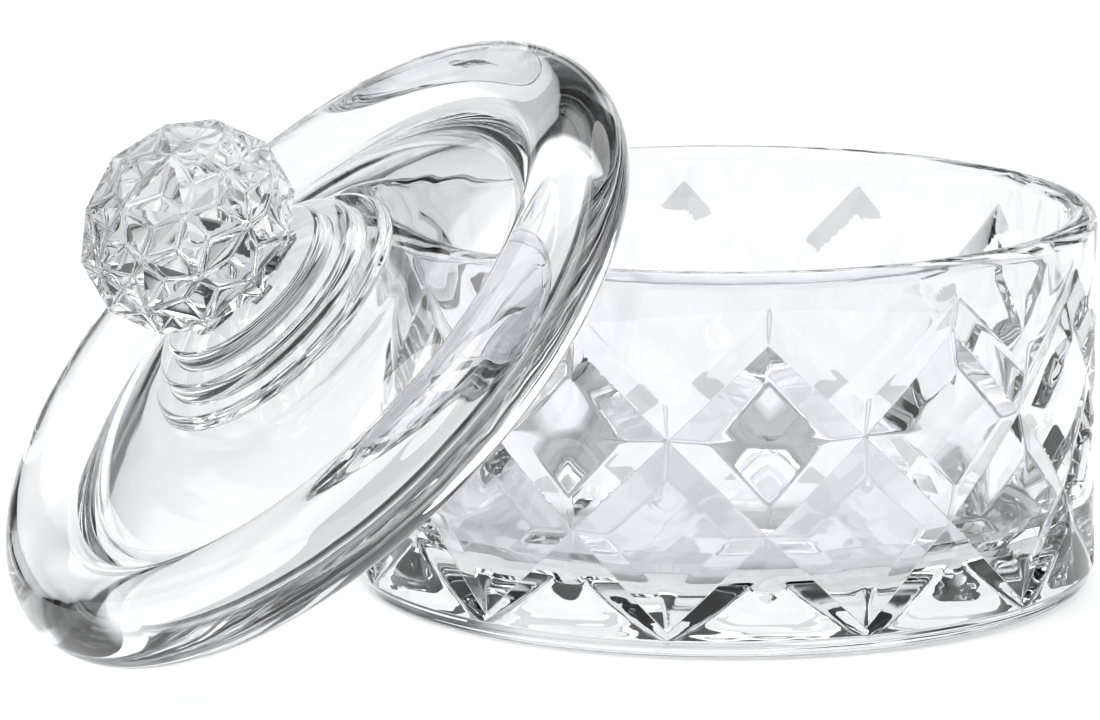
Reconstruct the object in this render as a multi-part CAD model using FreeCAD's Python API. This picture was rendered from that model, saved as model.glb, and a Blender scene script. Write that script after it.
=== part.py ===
import FreeCAD, Part
import math
import os

os.makedirs("parts", exist_ok=True)

# A pressed clear-glass dish with a loose lid leaning against it.
# Two pieces: the bowl, standing on the origin with its axis on Z, and the lid
# (low dome, rolled ring, stepped boss and faceted knob pressed as one piece).

# ---- bowl -----------------------------------------------------------------
bowl_radius = 52.0          # outside wall
bowl_height = 52.0
rim_wall = 4.3              # wall thickness at the rim
cavity_floor_radius = 46.3  # the cavity narrows a little toward its floor
floor_thickness = 7.0
cavity_corner = 7.0         # fillet between cavity wall and floor
rim_round = 2.05
foot_inset = 0.7            # plain foot band stands in from the wall
foot_height = 1.7
foot_round = 0.9

# ---- cut lattice: mitred V grooves in two crossing slants --------------------
diamonds_around = 12
lattice_turn = -99.92       # direction of one lower crossing, degrees from +X
top_apex_height = 42.3
bottom_apex_height = 3.4
groove_half_width = 3.4     # measured square to the groove
groove_depth = 1.15
groove_end_scale = 0.35     # how much of the groove is left at the bottom apex

# ---- lid --------------------------------------------------------------------
lid_radius = 52.5
ring_half_height = 7.0
ring_round = 6.2
ring_top_inside = (42.9, 7.0, 5.0)      # each corner is (radius, height, rounding)
ring_neck_inside = (39.7, 3.0, 3.0)
dome_trough = (37.6, 1.5, 2.5)          # the dome rises from a trough inside the ring
dome_shoulder = (31.0, 6.4, 26.0)
dome_under_edge = (39.2, -3.0, 4.0)
dome_under_shoulder = (29.0, 3.4, 26.0)
dome_under_middle = 4.6                 # height of the dome's underside on the axis
boss_foot = 7.7
boss_steps = ((20.0, 9.4), (16.9, 12.1), (13.5, 14.6))   # (radius, top height)
neck_radius = 8.6
knob_height = 25.3          # centre of the knob above the lid's middle plane
knob_radius = 15.3          # across its widest belt
knob_polar_radius = 13.3    # along the lid's axis
knob_turn = -23.0
facet_dimple = 0.055        # depth of each facet's hollow, share of the radius

# ---- how the lid leans ------------------------------------------------------
lean_heading = 205.5        # the lid's face looks this way, degrees from +X
lean_tilt = 44.22           # lid axis away from vertical
lid_centre = (-56.01, -35.70, 39.114)


def rounded_outline(corners):
    """Closed wire in the XZ plane; each corner is (radius, height, fillet)."""
    count = len(corners)
    cuts = []
    for index, (x, z, fillet) in enumerate(corners):
        here = FreeCAD.Vector(x, 0, z)
        before = FreeCAD.Vector(corners[index - 1][0], 0, corners[index - 1][1])
        after_corner = corners[(index + 1) % count]
        after = FreeCAD.Vector(after_corner[0], 0, after_corner[1])
        back = (before - here).normalize()
        ahead = (after - here).normalize()
        if fillet == 0:
            cuts.append((here, here, here))
            continue
        half_angle = back.getAngle(ahead) / 2.0
        reach = fillet / math.tan(half_angle)
        bisector = (back + ahead).normalize()
        centre = here + bisector * (fillet / math.sin(half_angle))
        middle = centre - bisector * fillet
        cuts.append((here + back * reach, middle, here + ahead * reach))
    edges = []
    for index, (start, middle, end) in enumerate(cuts):
        if (end - start).Length > 1e-6:
            edges.append(Part.Arc(start, middle, end).toShape())
        following = cuts[(index + 1) % count][0]
        if (following - end).Length > 1e-6:
            edges.append(Part.makeLine(end, following))
    return Part.Wire(edges)


def turned(corners, angle=360.0):
    face = Part.Face(rounded_outline(corners))
    return face.revolve(FreeCAD.Vector(0, 0, 0), FreeCAD.Vector(0, 0, 1), angle)


def groove_scale(height, lower_crossing_height):
    """Full size down to the lower crossings, fading toward the bottom apex."""
    span = lower_crossing_height - bottom_apex_height
    fade = (lower_crossing_height - height) / span
    fade = min(max((fade - 0.35) / 0.65, 0.0), 1.25)
    return 1.0 - (1.0 - groove_end_scale) * fade ** 1.5


def groove_tool(start_height, end_height, start_angle, end_angle, crossing):
    """V-shaped cutter that follows the wall between two lattice crossings."""
    overrun = 0.12
    stations = 9
    slope_along = math.radians(end_angle - start_angle) * bowl_radius
    slope_up = end_height - start_height
    length = math.hypot(slope_along, slope_up)
    square_along = -slope_up / length
    square_up = slope_along / length
    sections = []
    for station in range(stations):
        share = -overrun + (1.0 + 2.0 * overrun) * station / (stations - 1)
        height = start_height + slope_up * share
        angle = math.radians(start_angle + (end_angle - start_angle) * share)
        scale = groove_scale(height, crossing)
        proud = 1.6
        side = groove_half_width * scale * proud
        points = []
        for offset, radius in (
            (side, bowl_radius + groove_depth * scale * (proud - 1.0)),
            (0.0, bowl_radius - groove_depth * scale),
            (-side, bowl_radius + groove_depth * scale * (proud - 1.0)),
        ):
            turn = angle + offset * square_along / bowl_radius
            points.append(FreeCAD.Vector(
                radius * math.cos(turn),
                radius * math.sin(turn),
                height + offset * square_up,
            ))
        sections.append(Part.makePolygon(points + [points[0]]))
    return Part.makeLoft(sections, True, False)


def make_bowl():
    """One wedge of the repeating wall is cut, mirrored and copied round."""
    step = 180.0 / diamonds_around
    cavity_rim_radius = bowl_radius - rim_wall
    foot_radius = bowl_radius - foot_inset
    wedge = turned([
        (0.0, 0.0, 0.0),
        (foot_radius, 0.0, foot_round),
        (foot_radius, foot_height, 0.0),
        (bowl_radius, foot_height + 0.5, 0.0),
        (bowl_radius, bowl_height, rim_round),
        (cavity_rim_radius, bowl_height, rim_round),
        (cavity_floor_radius, floor_thickness, cavity_corner),
        (0.0, floor_thickness, 0.0),
    ], step)
    pitch = (top_apex_height - bottom_apex_height) / 3.0
    upper_crossing = top_apex_height - pitch
    lower_crossing = bottom_apex_height + pitch
    tools = [
        groove_tool(top_apex_height, upper_crossing, 0.0, step, lower_crossing),
        groove_tool(upper_crossing, lower_crossing, step, 0.0, lower_crossing),
        groove_tool(lower_crossing, bottom_apex_height, 0.0, step, lower_crossing),
    ]
    for tool in tools:
        wedge = wedge.cut(tool)
    mirrored = wedge.mirror(FreeCAD.Vector(0, 0, 0), FreeCAD.Vector(0, 1, 0))
    origin = FreeCAD.Vector(0, 0, 0)
    up = FreeCAD.Vector(0, 0, 1)
    pieces = []
    for index in range(diamonds_around):
        for half in (wedge, mirrored):
            piece = half.copy()
            piece.rotate(origin, up, lattice_turn + step + 2.0 * step * index)
            pieces.append(piece)
    bowl = pieces[0].multiFuse(pieces[1:]).removeSplitter()
    return bowl


def geodesic_knob():
    """Faceted ball: 42 raised star points, each facet hollowed to its middle."""
    golden = (1.0 + math.sqrt(5.0)) / 2.0
    belt = math.atan(0.5)
    points = [FreeCAD.Vector(0, 0, 1)]
    for ring, level in ((0, belt), (1, -belt)):
        for index in range(5):
            turn = math.radians(72.0 * index + 36.0 * ring)
            points.append(FreeCAD.Vector(
                math.cos(level) * math.cos(turn),
                math.cos(level) * math.sin(turn),
                math.sin(level),
            ))
    points.append(FreeCAD.Vector(0, 0, -1))
    triangles = []
    for index in range(5):
        following = (index + 1) % 5
        triangles.append((0, 1 + index, 1 + following))
        triangles.append((1 + index, 6 + index, 1 + following))
        triangles.append((6 + index, 6 + following, 1 + following))
        triangles.append((11, 6 + following, 6 + index))

    def on_knob(direction, share):
        unit = FreeCAD.Vector(direction).normalize()
        turn = math.radians(knob_turn)
        x = unit.x * math.cos(turn) - unit.y * math.sin(turn)
        y = unit.x * math.sin(turn) + unit.y * math.cos(turn)
        return FreeCAD.Vector(
            x * knob_radius * share,
            y * knob_radius * share,
            unit.z * knob_polar_radius * share + knob_height,
        )

    faces = []
    for first, second, third in triangles:
        a = points[first]
        b = points[second]
        c = points[third]
        ab = a + b
        bc = b + c
        ca = c + a
        for corners in ((a, ab, ca), (b, bc, ab), (c, ca, bc), (ab, bc, ca)):
            unit_corners = [FreeCAD.Vector(corner).normalize() for corner in corners]
            middle = unit_corners[0] + unit_corners[1] + unit_corners[2]
            hollow = on_knob(middle, 1.0 - facet_dimple * 1.6)
            rim = [on_knob(corner, 1.0) for corner in unit_corners]
            for index in range(3):
                wire = Part.makePolygon([rim[index], rim[(index + 1) % 3], hollow, rim[index]])
                faces.append(Part.Face(wire))
    shell = Part.makeShell(faces)
    return Part.makeSolid(shell)


def make_lid():
    corners = [(0.0, dome_under_middle, 0.0), dome_under_shoulder, dome_under_edge]
    radius, height, rounding = ring_top_inside
    corners.append((radius, -height, rounding))
    corners.append((lid_radius, -ring_half_height, ring_round))
    corners.append((lid_radius, ring_half_height, ring_round))
    corners.extend((ring_top_inside, ring_neck_inside, dome_trough, dome_shoulder))
    base = boss_foot
    for radius, top in boss_steps:
        corners.append((radius + 0.25, base, 0.4))
        corners.append((radius, top - 0.2, 1.1))
        base = top
    corners.append((neck_radius, base, 0.5))
    corners.append((neck_radius, knob_height - knob_polar_radius * 0.5, 0.0))
    corners.append((0.0, knob_height - knob_polar_radius * 0.5, 0.0))
    body = turned(corners)
    lid = body.fuse(geodesic_knob())
    return lid


def leaning(shape):
    tip = FreeCAD.Rotation(FreeCAD.Vector(0, 1, 0), lean_tilt)
    head = FreeCAD.Rotation(FreeCAD.Vector(0, 0, 1), lean_heading)
    placed = shape.copy()
    placed.Placement = FreeCAD.Placement(FreeCAD.Vector(*lid_centre), head.multiply(tip))
    return placed


bowl = make_bowl()
lid = leaning(make_lid())

for name, shape in (("bowl", bowl), ("lid", lid)):
    shape.exportStep("parts/" + name + ".step")
    print(name, shape.ShapeType, len(shape.Solids), shape.isValid(), round(shape.Volume, 1), shape.BoundBox)

print("gap between lid and bowl", lid.distToShape(bowl)[0])
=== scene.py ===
import math

import bmesh
import bpy
import numpy as np
from mathutils import Matrix, Vector


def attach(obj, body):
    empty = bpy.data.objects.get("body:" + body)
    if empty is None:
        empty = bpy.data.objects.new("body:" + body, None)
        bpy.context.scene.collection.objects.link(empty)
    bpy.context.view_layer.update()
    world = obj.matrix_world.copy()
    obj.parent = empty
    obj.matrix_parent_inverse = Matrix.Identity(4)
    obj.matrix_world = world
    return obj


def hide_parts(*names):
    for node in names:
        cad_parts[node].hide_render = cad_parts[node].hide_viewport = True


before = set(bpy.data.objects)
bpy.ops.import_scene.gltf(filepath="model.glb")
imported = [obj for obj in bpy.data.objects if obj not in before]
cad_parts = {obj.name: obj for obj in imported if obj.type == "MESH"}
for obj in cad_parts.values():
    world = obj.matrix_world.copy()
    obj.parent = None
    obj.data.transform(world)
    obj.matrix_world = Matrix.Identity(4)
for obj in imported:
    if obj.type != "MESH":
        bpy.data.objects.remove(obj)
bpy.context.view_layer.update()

MM = 0.001

# ---- sizes in millimetres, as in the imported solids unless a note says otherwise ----
BOWL_RADIUS, BOWL_HEIGHT = 52.0, 52.0
CAVITY_RIM_RADIUS, CAVITY_FLOOR_RADIUS = 47.7, 46.3
FLOOR_THICKNESS, CAVITY_CORNER = 7.0, 7.0
RIM_ROUND = 2.05
FOOT_RADIUS, FOOT_HEIGHT, FOOT_ROUND = 51.3, 1.7, 0.9

LATTICE_TURN = -99.92
DIAMONDS = 12
CROSSING_TURN = 180 / DIAMONDS          # degrees between two crossings of the lattice
TOP_APEX, BOTTOM_APEX = 42.3, 3.4
PITCH = (TOP_APEX - BOTTOM_APEX) / 3
GROOVE_HALF_WIDTH = 3.4
GROOVE_DEPTH = 1.15
GROOVE_END_SCALE = 0.35                 # the grooves narrow to this share at the bottom points
FADE_BELOW = 0.35                       # they narrow from this far, in crossings, below the lowest one
# the next three are finer than the solids, whose grooves, diamonds and inner wall are plain
EDGE_SOFTNESS = 0.28                    # the fire-polished edge of a groove
PILLOW_DROP, PILLOW_WIDTH = 0.16, 3.6   # how the diamonds round off towards the grooves
RIPPLE = 0.035                          # unevenness of the pressed inner wall

RING_HALF_HEIGHT = 7.0
RING_CENTRE, RING_HALF_WIDTH = 45.95, 6.55       # an oval section; the solid joins arcs and flats
RING_START_UNDER, RING_START_TOP = -0.68, 0.35   # where the dome joins the ring, in radians
DOME_TOP = ((37.6, 1.5, 2.5), (31.0, 6.4, 26.0))
DOME_UNDER = ((39.2, -3.0, 4.0), (29.0, 3.4, 26.0))
DOME_CENTRE_UNDER, DOME_CENTRE_FLAT = 4.6, 4.0
BOSS_FOOT = 7.7
BOSS_STEPS = ((20.0, 9.4), (16.9, 12.1), (13.5, 14.6))
BOSS_SPREAD, BOSS_SLOPE = 0.25, 0.2
BOSS_FOOT_ROUND, BOSS_EDGE_ROUND = 0.4, 1.1
SEAT_RADIUS = 9.7                       # the knob sits straight on the boss; the solid has a neck
KNOB_HEIGHT, KNOB_RADIUS, KNOB_POLAR = 25.3, 15.3, 13.3
KNOB_SEAT = 14.75                       # height where the knob meets its seat on the boss
KNOB_TURN = -23.0
KNOB_DIMPLE = 0.075                     # share of the radius; the facets of the solid are flatter
KNOB_VALLEY, KNOB_RIDGE = 22.0, 0.035   # how soft the petals of a facet are
LEAN_HEADING, LEAN_TILT = 205.5, 44.22
LID_CENTRE = Vector((-56.01, -35.70, 39.114)) * MM
LID_PLACE = (Matrix.Translation(LID_CENTRE)
             @ Matrix.Rotation(math.radians(LEAN_HEADING), 4, "Z")
             @ Matrix.Rotation(math.radians(LEAN_TILT), 4, "Y"))

# ---- how finely the meshes are cut ---------------------------------------------
CELLS = 24                              # between two crossings of the lattice
CREASE_SOFTNESS = 0.10                  # the crisp bottom of a groove
FOOT_DISC_RADIUS, FLOOR_DISC_RADIUS = 44.0, 36.0
DISC_RADIUS, DISC_SKIP = 20.0, 8        # the coarser ring inside both discs
LID_COLUMNS, RING_ROWS = 292, 96
FOOT_STEP, WALL_STEP, LID_STEP = 15.0, 14.0, 5.0
WIDE_FILLET, WIDE_FILLET_STEP = 10.0, 1.25
KNOB_STEPS = 16
SHARP_ANGLE = 40

# ---- glass and surroundings ----------------------------------------------------
GLASS_TINT = (0.84, 0.85, 0.865, 1)
GLASS_IOR = 1.52
GLASS_BOUNCES = 14                      # light is led a long way inside solid glass
# painted shade in the glass colour, by height in mm: the cavity corner, the boss and the knob are
# painted darkest
# the bowl's dark band at the cavity corner is painted shade, standing in for the shade seen through
# the floor
BOWL_PAINTED_SHADE = ((0.0, 0.93), (7.04, 0.93), (7.2, 0.25), (10.0, 0.22), (10.6, 0.5), (11.2, 0.93),
              (20.0, 0.93))
# the lid's boss and knob are painted darker than its dome and ring: painted shade in the clear glass
LID_PAINTED_SHADE = ((0.0, 0.88), (8.0, 0.86), (9.4, 0.78), (14.6, 0.74), (15.4, 0.70), (40.0, 0.70))
BOWL_PAINTED_SHADE_RADIUS, LID_PAINTED_SHADE_RADIUS = 47.5, 24.0
BOWL_SHADOW, LID_SHADOW = 0.66, 0.93    # how much light the shadow rays let through

FLOOR_RADIUS = 0.62
# brightness of the surroundings by height, 0 straight down and 1 straight up
SKY_BANDS = ((0.0, 0.80), (0.490, 0.85), (0.510, 0.85), (0.535, 0.98), (0.585, 0.98), (0.592, 0.04),
             (0.645, 0.04), (0.652, 0.98), (0.69, 0.98), (0.70, 0.06), (0.87, 0.06), (0.895, 2.1),
             (1.0, 2.8))
SKY_CARDS = ((0.0, 0.05), (0.14, 0.06), (0.28, 0.6), (0.42, 1.0))       # four dark cards around
SKY_FRONT = ((0.0, 0.05), (0.15, 0.08), (0.24, 1.0))                    # and one at the front
SKY_OVERHEAD = ((0.0, 1.0), (0.44, 1.0), (0.49, 0.0), (0.87, 0.0), (0.895, 1.0))   # free of cards

SENSOR_WIDTH, LENS = 36.0, 206.378182
CAMERA_DISTANCE = 880.7 * MM
CAMERA_ELEVATION, CAMERA_ROLL = 11.543, -0.295
CAMERA_TARGET = Vector((-24.2, 0.0, 30.15)) * MM
LIGHT_AIM, LIGHT_SIZE = (0, 0, 0.03), 0.7


def rounded(corners, step):
    """Outline through (radius, height, fillet) corners, with each fillet cut into short chords."""
    points = []
    for k, (x, z, fillet) in enumerate(corners):
        here = Vector((x, z))
        if fillet == 0 or k in (0, len(corners) - 1):
            points.append(here)
            continue
        back = (Vector(corners[k - 1][:2]) - here).normalized()
        ahead = (Vector(corners[k + 1][:2]) - here).normalized()
        half = back.angle(ahead) / 2
        centre = here + (back + ahead).normalized() * (fillet / math.sin(half))
        first = here + back * (fillet / math.tan(half)) - centre
        sweep = math.pi - 2 * half
        turn = 1 if back.cross(ahead) < 0 else -1
        chord_turn = step if fillet < WIDE_FILLET else WIDE_FILLET_STEP
        count = max(3, int(math.degrees(sweep) / chord_turn) + 1)
        for n in range(count + 1):
            angle = turn * sweep * n / count
            points.append(centre + Vector((
                first.x * math.cos(angle) - first.y * math.sin(angle),
                first.x * math.sin(angle) + first.y * math.cos(angle),
            )))
    return points


def held(points, longest, hold=0.12):
    """Splits long straight runs and keeps a short chord at both ends, so shading stays flat."""
    result = [points[0]]
    for start, end in zip(points, points[1:]):
        run = (end - start).length
        if run > 1.0:
            inner = max(1, int(run / longest))
            between = [n / (inner + 1) for n in range(1, inner + 1)]
            for share in [hold / run, *between, 1 - hold / run]:
                result.append(start.lerp(end, share))
        result.append(end)
    return result


def grid_faces(rows, columns):
    """Quads of a grid whose columns close on themselves."""
    r = np.arange(rows - 1)[:, None] * columns
    c = np.arange(columns)[None, :]
    n = (c + 1) % columns
    quads = np.stack([r + c, r + n, r + columns + n, r + columns + c], axis=-1)
    return quads.reshape(-1, 4)


def new_object(name, vertices, faces):
    mesh = bpy.data.meshes.new(name)
    mesh.from_pydata([tuple(v) for v in vertices], [], [tuple(int(i) for i in f) for f in faces])
    mesh.validate()
    obj = bpy.data.objects.new(name, mesh)
    bpy.context.scene.collection.objects.link(obj)
    return obj


# ---- bowl -------------------------------------------------------------------
def crease_warp():
    """Returns a function that moves the mesh lines beside every groove bottom close up to it."""
    count = 2 * CELLS
    softness = CREASE_SOFTNESS / (PITCH * math.sqrt(2))
    table = np.concatenate([[0.0], np.linspace(softness, 1 - softness, count - 1), [1.0]])

    def warp(index):
        whole = np.floor_divide(index, count)
        return whole + table[index - whole * count]
    return warp


def groove(around, up):
    """Depth of the cut pattern at lattice place (around, up), both in crossings."""
    fade = np.clip((1 - up - FADE_BELOW) / (1 - FADE_BELOW), 0, 1.25)
    scale = 1 - (1 - GROOVE_END_SCALE) * fade ** 1.5
    half_width = GROOVE_HALF_WIDTH * scale
    slope = GROOVE_DEPTH / GROOVE_HALF_WIDTH
    cut = np.zeros_like(around)
    pillow = np.zeros_like(around)
    for slant in (1, -1):
        line = around + slant * up
        for shift in (-2, 0, 2):
            nearest = 2 * np.round(line / 2) + shift
            away = np.abs(line - nearest) * PITCH / math.sqrt(2)
            top_end = nearest - 3 * slant
            inside = slant * (around - top_end) >= -1e-9
            inside &= slant * (nearest - around) >= -1e-9
            edge = np.clip(half_width + EDGE_SOFTNESS - away, 0, None)
            flank = np.where(edge < 2 * EDGE_SOFTNESS, edge ** 2 / (4 * EDGE_SOFTNESS),
                             edge - EDGE_SOFTNESS)
            cut = np.maximum(cut, np.where(inside, slope * flank, 0))
            near = np.clip(1 - np.clip(away - half_width, 0, None) / PILLOW_WIDTH, 0, 1)
            pillow = np.maximum(pillow, np.where(inside, near ** 2 * scale, 0))
    return cut + PILLOW_DROP * pillow


def bowl_profile(wall_top):
    """Outlines below and above the lattice, as (radius, height) points."""
    below = rounded([
        (FOOT_DISC_RADIUS, 0.0, 0), (FOOT_RADIUS, 0.0, FOOT_ROUND), (FOOT_RADIUS, FOOT_HEIGHT, 0),
    ], FOOT_STEP)
    below += [Vector((BOWL_RADIUS, FOOT_HEIGHT + rise)) for rise in (0.5, 0.9, 1.3)]
    above = rounded([
        (BOWL_RADIUS, wall_top, 0), (BOWL_RADIUS, BOWL_HEIGHT, RIM_ROUND),
        (CAVITY_RIM_RADIUS, BOWL_HEIGHT, RIM_ROUND),
        (CAVITY_FLOOR_RADIUS, FLOOR_THICKNESS, CAVITY_CORNER), (FLOOR_DISC_RADIUS, FLOOR_THICKNESS, 0),
    ], WALL_STEP)
    return below, held(above, 5.0)[1:]


def bowl_rows(columns):
    """Every ring of the bowl from the foot to the cavity floor, as (around, radius, height)."""
    lattice_rows = 7 * CELLS // 2
    warp = crease_warp()
    i = np.arange(columns)[None, :]
    j = np.arange(lattice_rows + 1)[:, None]
    u, v = warp(i + j), warp(i - j)
    around, up = u + v, u - v
    radius = BOWL_RADIUS - groove(around, up)
    height = BOTTOM_APEX + PITCH * up

    below, above = bowl_profile(float(height[-1, 0]))
    rows = []
    for r, z in below:
        ring_up = np.full(columns, (z - BOTTOM_APEX) / PITCH)
        cut = groove(around[0], ring_up) if z > FOOT_HEIGHT + 0.3 else 0
        rows.append((around[0], np.full(columns, r) - cut, np.full(columns, z)))
    for k in range(lattice_rows + 1):
        rows.append((around[k], radius[k], height[k]))
    for r, z in above:
        on_inner_wall = r < 48 and z > 9
        wave = np.sin(math.radians(CROSSING_TURN) * around[-1] * 5 + z * 0.21)
        ripple = RIPPLE * wave if on_inner_wall else 0
        rows.append((around[-1], np.full(columns, r) + ripple, np.full(columns, z)))
    return rows


def split_quads(quads, around, up, radius, columns):
    """Splits each quad along the diagonal that lies in the cut surface."""
    crossings = columns / CELLS
    near = around[quads]
    near = np.where(near - near[:, :1] > crossings / 2, near - crossings, near)
    near = np.where(near - near[:, :1] < -crossings / 2, near + crossings, near)
    centre = BOWL_RADIUS - groove(near.mean(1), up[quads].mean(1))
    first = radius[quads[:, [0, 2]]].mean(1)
    second = radius[quads[:, [1, 3]]].mean(1)
    use_first = np.abs(first - centre) <= np.abs(second - centre)
    return np.where(use_first[:, None],
                    quads[:, [0, 1, 2, 0, 2, 3]], quads[:, [0, 1, 3, 1, 2, 3]]).reshape(-1, 3)


def close_disc(points, faces, around, ring_start, z, columns):
    """Flat disc inside the ring that starts at ring_start, with one coarser ring on the way in."""
    centre = len(points)
    points.append((0.0, 0.0, z * MM))
    coarse = []
    for n in range(0, columns, DISC_SKIP):
        angle = math.radians(LATTICE_TURN + CROSSING_TURN * float(around[ring_start + n]))
        coarse.append(len(points))
        points.append((DISC_RADIUS * math.cos(angle) * MM, DISC_RADIUS * math.sin(angle) * MM, z * MM))
    for k, n in enumerate(range(0, columns, DISC_SKIP)):
        following = coarse[(k + 1) % len(coarse)]
        for m in range(DISC_SKIP):
            corner = coarse[k] if m < DISC_SKIP // 2 else following
            faces.append((corner, ring_start + n + m, ring_start + (n + m + 1) % columns))
        faces.append((coarse[k], ring_start + n + DISC_SKIP // 2, following))
        faces.append((coarse[k], following, centre))


def make_bowl():
    columns = 2 * DIAMONDS * CELLS
    rows = bowl_rows(columns)
    around = np.concatenate([row[0] for row in rows])
    radius = np.concatenate([row[1] for row in rows])
    height = np.concatenate([row[2] * np.ones(columns) for row in rows])
    angle = np.radians(LATTICE_TURN + CROSSING_TURN * around)
    vertices = np.stack([radius * np.cos(angle), radius * np.sin(angle), height], axis=-1) * MM
    up = (height - BOTTOM_APEX) / PITCH
    quads = grid_faces(len(rows), columns)
    points = [tuple(p) for p in vertices]
    faces = [tuple(f) for f in split_quads(quads, around, up, radius, columns)]
    close_disc(points, faces, around, 0, 0.0, columns)
    close_disc(points, faces, around, (len(rows) - 1) * columns, FLOOR_THICKNESS, columns)
    obj = new_object("bowl_glass", points, faces)
    tidy_normals(obj)
    return obj


def tidy_normals(obj, sharp_angle=None):
    bm = bmesh.new()
    bm.from_mesh(obj.data)
    bmesh.ops.recalc_face_normals(bm, faces=bm.faces)
    for face in bm.faces:
        face.smooth = True
    if sharp_angle is not None:
        for edge in bm.edges:
            if len(edge.link_faces) == 2 and edge.calc_face_angle(0) > math.radians(sharp_angle):
                edge.smooth = False
    bm.to_mesh(obj.data)
    bm.free()


# ---- lid --------------------------------------------------------------------
def knob_mesh():
    """Geodesic ball of 42 star points; every facet is hollowed into three soft petals."""
    ball = bmesh.new()
    bmesh.ops.create_icosphere(ball, subdivisions=2, radius=1.0)
    pole = max(ball.verts, key=lambda v: v.co.z)
    upright = pole.co.rotation_difference(Vector((0, 0, 1))).to_matrix()
    turn = Matrix.Rotation(math.radians(KNOB_TURN), 3, "Z") @ upright
    bm = bmesh.new()
    for facet in ball.faces:
        a, b, c = (turn @ v.co for v in facet.verts)
        grid = {}
        for i in range(KNOB_STEPS + 1):
            for j in range(KNOB_STEPS + 1 - i):
                share = (i / KNOB_STEPS, j / KNOB_STEPS, 1 - (i + j) / KNOB_STEPS)
                soft = -math.log(sum(math.exp(-KNOB_VALLEY * 3 * w) for w in share) / 3) / KNOB_VALLEY
                soft = max(soft, 0.0)
                hollow = math.sqrt(soft ** 2 + KNOB_RIDGE ** 2) - KNOB_RIDGE
                flat = a * share[0] + b * share[1] + c * share[2]
                unit = flat * (1 - KNOB_DIMPLE * hollow)
                grid[i, j] = bm.verts.new((unit.x * KNOB_RADIUS * MM, unit.y * KNOB_RADIUS * MM,
                                           (unit.z * KNOB_POLAR + KNOB_HEIGHT) * MM))
        for i in range(KNOB_STEPS):
            for j in range(KNOB_STEPS - i):
                bm.faces.new((grid[i, j], grid[i + 1, j], grid[i, j + 1]))
                if i + j < KNOB_STEPS - 1:
                    bm.faces.new((grid[i + 1, j], grid[i + 1, j + 1], grid[i, j + 1]))
    ball.free()
    bmesh.ops.remove_doubles(bm, verts=bm.verts, dist=0.002 * MM)
    bmesh.ops.bisect_plane(bm, geom=bm.verts[:] + bm.edges[:] + bm.faces[:],
                           plane_co=(0, 0, KNOB_SEAT * MM), plane_no=(0, 0, 1), clear_inner=True)
    bmesh.ops.triangulate(bm, faces=[f for f in bm.faces if len(f.verts) > 3])
    bm.verts.index_update()
    points = [v.co.copy() for v in bm.verts]
    faces = [[v.index for v in f.verts] for f in bm.faces]
    rim = {v.index for e in bm.edges if e.is_boundary for v in e.verts}
    bm.free()
    return points, faces, rim


def stitch(points, inner, outer):
    """Triangles between two rings that are sorted by angle."""
    def angle(n):
        return math.atan2(points[n].y, points[n].x) % (2 * math.pi)
    inner = sorted(inner, key=angle)
    outer = sorted(outer, key=angle)
    faces = []
    a = b = 0
    while a < len(inner) or b < len(outer):
        next_inner = angle(inner[a + 1]) if a + 1 < len(inner) else angle(inner[0]) + 2 * math.pi
        next_outer = angle(outer[b + 1]) if b + 1 < len(outer) else angle(outer[0]) + 2 * math.pi
        here_inner, here_outer = inner[a % len(inner)], outer[b % len(outer)]
        if b >= len(outer) or (a < len(inner) and next_inner <= next_outer):
            faces.append((here_inner, inner[(a + 1) % len(inner)], here_outer))
            a += 1
        else:
            faces.append((here_inner, outer[(b + 1) % len(outer)], here_outer))
            b += 1
    return faces


def ring_point(turn):
    """A corner on the ring's oval section; turn 0 is its innermost point, positive is upwards."""
    return (RING_CENTRE - RING_HALF_WIDTH * math.cos(turn), RING_HALF_HEIGHT * math.sin(turn), 0)


def lid_profile():
    """Outline from the dome's underside out round the ring and in over the boss."""
    underside = rounded([(DOME_CENTRE_FLAT, DOME_CENTRE_UNDER, 0), *reversed(DOME_UNDER),
                         ring_point(RING_START_UNDER)], LID_STEP)
    turns = np.linspace(RING_START_UNDER, RING_START_TOP - 2 * math.pi, RING_ROWS)
    ring = [Vector(ring_point(turn)[:2]) for turn in turns]
    corners = [ring_point(RING_START_TOP), *DOME_TOP]
    base = BOSS_FOOT
    for r, top in BOSS_STEPS:
        corners.append((r + BOSS_SPREAD, base, BOSS_FOOT_ROUND))
        corners.append((r, top - BOSS_SLOPE, BOSS_EDGE_ROUND))
        base = top
    corners.append((SEAT_RADIUS, base, 0))
    crown = rounded(corners, LID_STEP)
    return held(underside[:-1] + ring + crown[1:], 2.0)


def make_lid():
    profile = lid_profile()
    angle = 2 * math.pi * np.arange(LID_COLUMNS) / LID_COLUMNS
    points = []
    for r, z in profile:
        points += [Vector((r * math.cos(a), r * math.sin(a), z)) * MM for a in angle]
    faces = [list(f) for f in grid_faces(len(profile), LID_COLUMNS)]
    centre = len(points)
    points.append(Vector((0, 0, DOME_CENTRE_UNDER * MM)))
    faces += [[n, (n + 1) % LID_COLUMNS, centre] for n in range(LID_COLUMNS)]

    knob_points, knob_faces, knob_rim = knob_mesh()
    offset = len(points)
    points += knob_points
    faces += [[n + offset for n in f] for f in knob_faces]
    seat = list(range((len(profile) - 1) * LID_COLUMNS, len(profile) * LID_COLUMNS))
    faces += stitch(points, [n + offset for n in knob_rim], seat)

    obj = new_object("lid_glass", [LID_PLACE @ p for p in points], faces)
    tidy_normals(obj, SHARP_ANGLE)
    return obj


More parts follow.
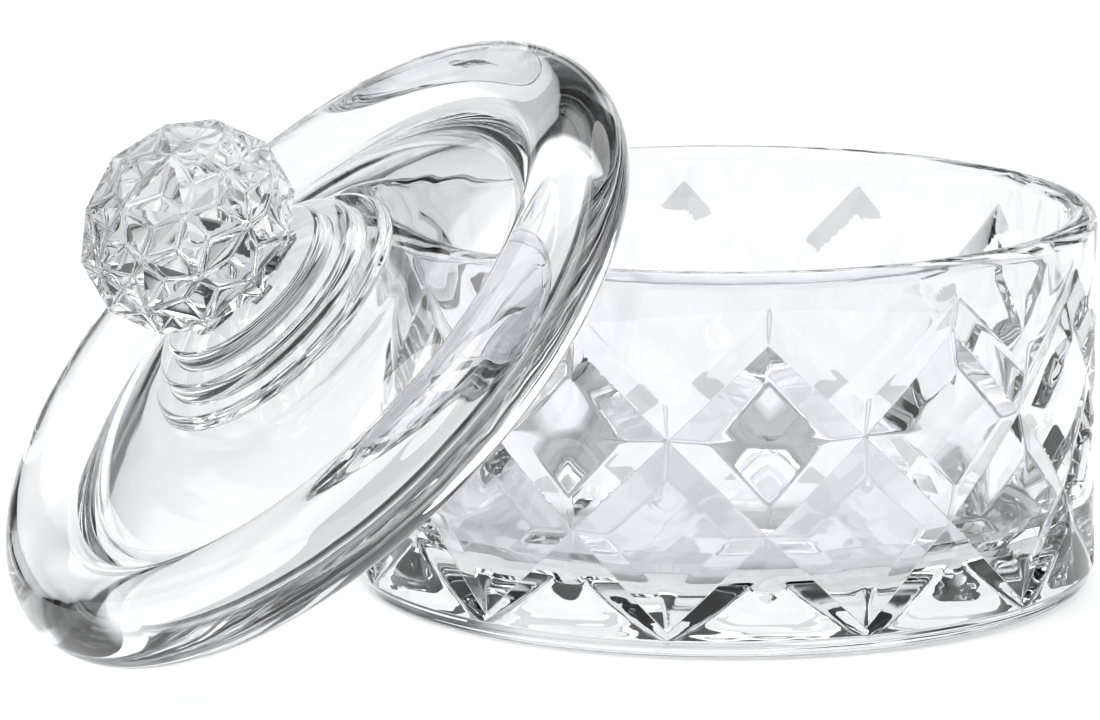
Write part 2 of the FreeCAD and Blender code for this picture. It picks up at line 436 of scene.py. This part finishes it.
# ---- glass ------------------------------------------------------------------
def painted_shade_by_height(nodes, links, place, shade_stops, reach, stand):
    """Glass tint with painted shade that changes with height over the piece's own foot, within reach
    of its axis; the plain glass tint lies beyond that reach.
    """
    local = nodes.new("ShaderNodeMapping")
    local.vector_type = "TEXTURE"
    local.inputs["Location"].default_value = stand.translation
    local.inputs["Rotation"].default_value = stand.to_euler()
    links.new(place.outputs["Object"], local.inputs["Vector"])

    where = nodes.new("ShaderNodeSeparateXYZ")
    fit = nodes.new("ShaderNodeMapRange")
    fit.inputs["From Max"].default_value = shade_stops[-1][0] * MM
    band = nodes.new("ShaderNodeValToRGB")
    while len(band.color_ramp.elements) < len(shade_stops):
        band.color_ramp.elements.new(0.5)
    for element, (height, tone) in zip(band.color_ramp.elements, shade_stops):
        element.position = height / shade_stops[-1][0]
        element.color = (tone, tone * 1.01, tone * 1.03, 1)
    links.new(local.outputs["Vector"], where.inputs["Vector"])
    links.new(where.outputs["Z"], fit.inputs["Value"])
    links.new(fit.outputs["Result"], band.inputs["Fac"])

    flat = nodes.new("ShaderNodeVectorMath")
    flat.operation = "MULTIPLY"
    flat.inputs[1].default_value = (1, 1, 0)
    away = nodes.new("ShaderNodeVectorMath")
    away.operation = "LENGTH"
    inner = nodes.new("ShaderNodeMath")
    inner.operation = "LESS_THAN"
    inner.inputs[1].default_value = reach * MM
    links.new(local.outputs["Vector"], flat.inputs[0])
    links.new(flat.outputs["Vector"], away.inputs[0])
    links.new(away.outputs["Value"], inner.inputs[0])

    blend = nodes.new("ShaderNodeMix")
    blend.data_type = "RGBA"
    blend.inputs[6].default_value = GLASS_TINT
    links.new(inner.outputs["Value"], blend.inputs[0])
    links.new(band.outputs["Color"], blend.inputs[7])
    return blend.outputs[2]


def clear_glass(name, seed, shadow, shade_stops, reach, stand):
    material = bpy.data.materials.new(name)
    material.use_nodes = True
    nodes, links = material.node_tree.nodes, material.node_tree.links
    nodes.clear()
    output = nodes.new("ShaderNodeOutputMaterial")
    glass = nodes.new("ShaderNodeBsdfPrincipled")
    glass.inputs["Transmission Weight"].default_value = 1.0
    glass.inputs["IOR"].default_value = GLASS_IOR

    place = nodes.new("ShaderNodeTexCoord")
    flow = nodes.new("ShaderNodeTexNoise")
    flow.noise_dimensions = "4D"
    flow.inputs["W"].default_value = seed
    flow.inputs["Scale"].default_value = 55.0
    flow.inputs["Detail"].default_value = 2.0
    bump = nodes.new("ShaderNodeBump")
    bump.inputs["Strength"].default_value = 0.10
    bump.inputs["Distance"].default_value = 0.0012
    links.new(place.outputs["Object"], flow.inputs["Vector"])
    links.new(flow.outputs["Fac"], bump.inputs["Height"])
    links.new(bump.outputs["Normal"], glass.inputs["Normal"])

    wear = nodes.new("ShaderNodeTexNoise")
    wear.inputs["Scale"].default_value = 900.0
    wear.inputs["Detail"].default_value = 4.0
    haze = nodes.new("ShaderNodeMapRange")
    haze.inputs["From Min"].default_value = 0.45
    haze.inputs["From Max"].default_value = 0.8
    haze.inputs["To Min"].default_value = 0.0
    haze.inputs["To Max"].default_value = 0.03
    links.new(place.outputs["Object"], wear.inputs["Vector"])
    links.new(wear.outputs["Fac"], haze.inputs["Value"])
    links.new(haze.outputs["Result"], glass.inputs["Roughness"])

    # the base colour carries painted shade: darker by height where shade is seen through the glass
    tint_and_painted_shade = painted_shade_by_height(nodes, links, place, shade_stops, reach, stand)
    links.new(tint_and_painted_shade, glass.inputs["Base Color"])

    light_path = nodes.new("ShaderNodeLightPath")
    clear = nodes.new("ShaderNodeBsdfTransparent")
    clear.inputs["Color"].default_value = (shadow, shadow, shadow, 1)
    mix = nodes.new("ShaderNodeMixShader")
    links.new(light_path.outputs["Is Shadow Ray"], mix.inputs["Fac"])
    links.new(glass.outputs["BSDF"], mix.inputs[1])
    links.new(clear.outputs["BSDF"], mix.inputs[2])
    links.new(mix.outputs["Shader"], output.inputs["Surface"])
    return material


def dress(obj, body, material):
    obj.data.materials.clear()
    obj.data.materials.append(material)
    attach(obj, body)
    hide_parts(body)


bowl = make_bowl()
lid = make_lid()
# both glasses get painted shade in their base colour, darkening by height near the axis
dress(bowl, "bowl", clear_glass("bowl_clear_glass", 1.7, BOWL_SHADOW,
                                BOWL_PAINTED_SHADE, BOWL_PAINTED_SHADE_RADIUS, Matrix()))
dress(lid, "lid", clear_glass("lid_clear_glass", 6.3, LID_SHADOW,
                              LID_PAINTED_SHADE, LID_PAINTED_SHADE_RADIUS, LID_PLACE))


# ---- floor, light, camera -----------------------------------------------------
def make_floor():
    bm = bmesh.new()
    bmesh.ops.create_circle(bm, cap_ends=True, radius=FLOOR_RADIUS, segments=128)
    mesh = bpy.data.meshes.new("floor")
    bm.to_mesh(mesh)
    bm.free()
    floor = bpy.data.objects.new("floor", mesh)
    floor.location.z = -0.0002
    bpy.context.scene.collection.objects.link(floor)
    material = bpy.data.materials.new("pale_floor")
    material.use_nodes = True
    shader = material.node_tree.nodes["Principled BSDF"]
    shader.inputs["Base Color"].default_value = (0.9, 0.9, 0.9, 1)
    shader.inputs["Roughness"].default_value = 0.9
    shader.inputs["Specular IOR Level"].default_value = 0.0
    mesh.materials.append(material)


def make_sky():
    """White surroundings with dark bands and cards; the camera itself sees plain white."""
    world = bpy.data.worlds.new("studio")
    bpy.context.scene.world = world
    world.use_nodes = True
    nodes, links = world.node_tree.nodes, world.node_tree.links
    background = nodes["Background"]
    place = nodes.new("ShaderNodeTexCoord")
    split = nodes.new("ShaderNodeSeparateXYZ")
    links.new(place.outputs["Generated"], split.inputs["Vector"])

    def maths(operation, *values):
        node = nodes.new("ShaderNodeMath")
        node.operation = operation
        for socket, value in zip(node.inputs, values):
            if isinstance(value, (int, float)):
                socket.default_value = value
            else:
                links.new(value, socket)
        return node.outputs[0]

    def ramp(value, stops):
        node = nodes.new("ShaderNodeValToRGB")
        elements = node.color_ramp.elements
        while len(elements) < len(stops):
            elements.new(0.5)
        for element, (position, bright) in zip(elements, stops):
            element.position = position
            element.color = (bright, bright, bright, 1)
        links.new(value, node.inputs["Fac"])
        return node.outputs["Color"]

    height = maths("MULTIPLY_ADD", split.outputs["Z"], 0.5, 0.5)
    facing = maths("MULTIPLY_ADD", split.outputs["Y"], 0.5, 0.5)
    turn = maths("ARCTAN2", split.outputs["Y"], split.outputs["X"])
    wave = maths("COSINE", maths("MULTIPLY", turn, 4.0))
    cards = ramp(maths("MULTIPLY_ADD", wave, 0.5, 0.5), SKY_CARDS)
    sides = maths("MULTIPLY", cards, ramp(facing, SKY_FRONT))
    free = maths("MAXIMUM", sides, ramp(height, SKY_OVERHEAD))
    tone = maths("MULTIPLY", ramp(height, SKY_BANDS), free)
    eye = nodes.new("ShaderNodeLightPath")
    seen = nodes.new("ShaderNodeMix")
    seen.data_type = "FLOAT"
    links.new(eye.outputs["Is Camera Ray"], seen.inputs[0])
    links.new(tone, seen.inputs[2])
    seen.inputs[3].default_value = 1.0
    links.new(seen.outputs[0], background.inputs["Color"])


def soft_light(name, place, power):
    data = bpy.data.lights.new(name, "AREA")
    data.shape = "DISK"
    data.size = LIGHT_SIZE
    data.energy = power
    light = bpy.data.objects.new(name, data)
    light.location = place
    light.rotation_euler = (Vector(LIGHT_AIM) - Vector(place)).to_track_quat("-Z", "Y").to_euler()
    bpy.context.scene.collection.objects.link(light)


def make_camera():
    elevation, roll = math.radians(CAMERA_ELEVATION), math.radians(CAMERA_ROLL)
    data = bpy.data.cameras.new("camera")
    data.sensor_width = SENSOR_WIDTH
    data.lens = LENS
    data.clip_start, data.clip_end = 0.01, 50
    camera = bpy.data.objects.new("camera", data)
    bpy.context.scene.collection.objects.link(camera)
    back = Vector((0, -math.cos(elevation), math.sin(elevation)))
    level = Vector((1, 0, 0))
    upright = back.cross(level)
    right = level * math.cos(roll) + upright * math.sin(roll)
    up = upright * math.cos(roll) - level * math.sin(roll)
    turn = Matrix((right, up, back)).transposed().to_4x4()
    camera.matrix_world = Matrix.Translation(CAMERA_TARGET + back * CAMERA_DISTANCE) @ turn
    bpy.context.scene.camera = camera


make_floor()
make_sky()
soft_light("key", (-0.75, -0.55, 1.1), 6.5)
soft_light("fill", (0.8, 0.7, 1.0), 3.0)
make_camera()

scene = bpy.context.scene
scene.cycles.max_bounces = GLASS_BOUNCES
scene.cycles.transmission_bounces = GLASS_BOUNCES
scene.cycles.glossy_bounces = GLASS_BOUNCES
scene.view_settings.view_transform = "Standard"
